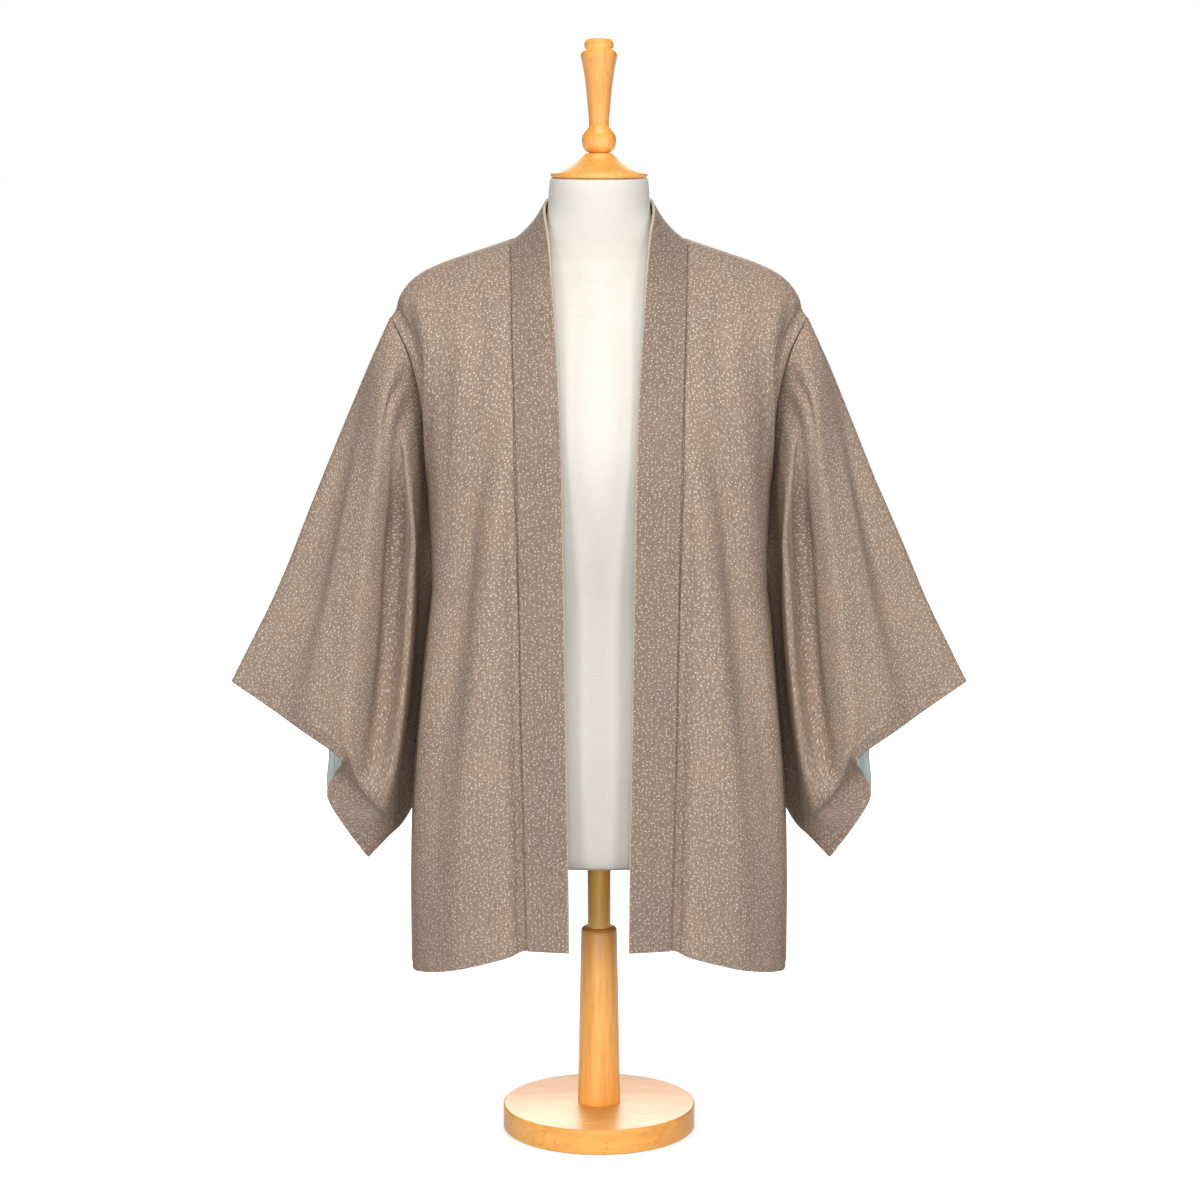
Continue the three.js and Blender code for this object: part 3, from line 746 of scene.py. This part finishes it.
def form_linen():
    r = Recipe("Ivory linen", Roughness=0.9, Specular_IOR_Level=0.2)
    place = r.place()
    weft = r.noise(r.moved(place, (60, 60, 1400)), 1, 2)
    warp = r.noise(r.moved(place, (900, 900, 40)), 1, 2)
    cloudy = r.noise(place, 14, 2)
    colour = r.mix(weft.above(0.35, 0.7) * 0.35, paint(219, 214, 205), paint(210, 204, 193))
    colour = r.mix(cloudy.above(0.4, 0.7) * 0.15, colour, paint(230, 227, 219))
    return r.finish(colour, None, weft + warp * 0.6, 0.25, 0.0004)


def beech(name, scale, light=1.0):
    # painted light: a factor above 1 paints every grain colour lighter, as on the pole's and the foot's copies
    def grain_and_painted_light(*levels):
        return paint(*(min(level * light, 255) for level in levels))

    r = Recipe(name, Roughness=0.42, Coat_Weight=0.25, Coat_Roughness=0.25, Specular_IOR_Level=0.4)
    along = r.moved(r.place(), scale)
    slow = r.noise(along, 1.0, 3, 0.9)
    fine = r.noise(r.moved(along, (7, 7, 7)), 1.0, 3)
    flecks = r.noise(r.moved(along, (16, 16, 5)), 1.0, 1)
    colour = r.mix(slow.above(0.35, 0.68), grain_and_painted_light(243, 177, 88), grain_and_painted_light(228, 154, 66))
    colour = r.mix(fine.above(0.48, 0.72) * 0.45, colour, grain_and_painted_light(204, 131, 52))
    colour = r.mix(flecks.above(0.66, 0.74) * 0.4, colour, grain_and_painted_light(184, 114, 50))
    return r.finish(colour, 0.38 + fine * 0.12, fine, 0.12, 0.0003)


lining_silk, linen = blue_lining(), form_linen()
upright = beech("Beech, turned upright", (38, 38, 3.2))
# the pole: painted light, its wood 15 percent lighter where the cloth shades it
pole_wood_painted_light = beech("Beech, pole, painted light", (44, 44, 3), 1.15)
# the foot: grain lying across it, and painted light, its wood 5 percent lighter where the lamps leave it dim
foot_wood_painted_light = beech("Beech, foot, painted light", (4.5, 34, 44), 1.05)
for piece, material in (
    *((bodies[s], haori_silk) for s in bodies), *((sleeves[s][0], haori_silk) for s in sleeves),
    *((linings[s], lining_silk) for s in linings), (band, band_silk_painted_shade), (form, linen), (foot, foot_wood_painted_light),
    (column, upright), (pole, pole_wood_painted_light), (cap, upright), (finial, upright),
):
    piece.data.materials.clear()
    piece.data.materials.append(material)
print("materials:", [m.name for m in bpy.data.materials])

# %% [markdown]
# ## The cloth of the sheets
#
# A body panel is one width of the bolt and as long as front and back together. A sleeve is a strip
# as wide as the arm's reach, folded at the top.

# %% [markdown]
# ## Floor and light
#
# The set is a white sweep with large soft lamps, so the brown cloth keeps its folds and the
# floor stays almost white. Three lamps stand in front and one on each side, a low one lights the
# stand, one hangs overhead, and one behind lights the back.

# %% Floor and light
bpy.ops.mesh.primitive_plane_add(size=60, location=(0, 0, -0.0005))
floor = bpy.context.object
floor.name = "floor"
floor.visible_diffuse = False
pale = Recipe("Pale floor", Roughness=0.9, Specular_IOR_Level=0.1, Emission_Strength=1.0)
away = pale.node("ShaderNodeVectorMath", {"operation": "LENGTH"}, {"Vector": pale.place()}).outputs["Value"]
glow = pale.mix(Num(pale, away).above(0.3, 2.2), (0.64,) * 3, (1, 1, 1))
pale.put(pale.shader.inputs["Emission Color"], glow)
floor.data.materials.append(pale.finish((0.55, 0.55, 0.55, 1)))

world = bpy.data.worlds.new("Studio")
bpy.context.scene.world = world
world.use_nodes = True
world.node_tree.nodes["Background"].inputs["Color"].default_value = (1, 1, 1, 1)
world.node_tree.nodes["Background"].inputs["Strength"].default_value = 1.0
world.cycles_visibility.diffuse = False
world.cycles_visibility.glossy = False


def lamp(name, place, target, size, power):
    data = bpy.data.lights.new(name, "AREA")
    data.shape, data.size, data.size_y, data.energy = "RECTANGLE", size[0], size[1], power
    light = bpy.data.objects.new(name, data)
    bpy.context.collection.objects.link(light)
    light.location = place
    light.rotation_euler = (Vector(target) - Vector(place)).to_track_quat("-Z", "Y").to_euler()
    return light


lamp("front_lamp_left", (-1.7, -4.0, 1.0), (0, 0, 0.5), (0.9, 1.8), 55)
lamp("front_lamp_middle", (0, -4.4, 1.0), (0, 0, 0.5), (0.9, 1.8), 36)
lamp("front_lamp_right", (1.7, -4.0, 1.0), (0, 0, 0.5), (0.9, 1.8), 55)
low_lamp = lamp("low_lamp", (0, -2.2, 0.1), (0, 0, 0.4), (1.2, 0.4), 9)
low_lamp.visible_camera = False
lamp("top_lamp", (0, -0.9, 3.3), (0, 0, 0.2), (1.6, 1.6), 54)
lamp("left_lamp", (-2.8, -1.8, 0.9), (0, 0, 0.4), (0.9, 1.8), 27)
lamp("right_lamp", (2.8, -1.8, 0.9), (0, 0, 0.4), (0.9, 1.8), 27)
lamp("back_lamp", (0, 3.2, 2.0), (0, 0, 0.6), (3.4, 1.5), 140)

# %% [markdown]
# ## Camera
#
# The camera stands nearly three and a half metres back with a long lens, tilted a little down. A long
# lens keeps the upright lines of the stand and the sleeves almost parallel.

# %% Camera
camera = bpy.data.objects.new("Camera", bpy.data.cameras.new("Camera"))
bpy.context.collection.objects.link(camera)
camera.data.lens, camera.data.sensor_width = 100.5, 36
camera.location = (0.001, -3.383, 1.093)
camera.rotation_euler = (math.radians(81), 0, 0)
bpy.context.scene.camera = camera
bpy.context.scene.view_settings.view_transform = "Standard"

print("camera lens in millimetres:", camera.data.lens)
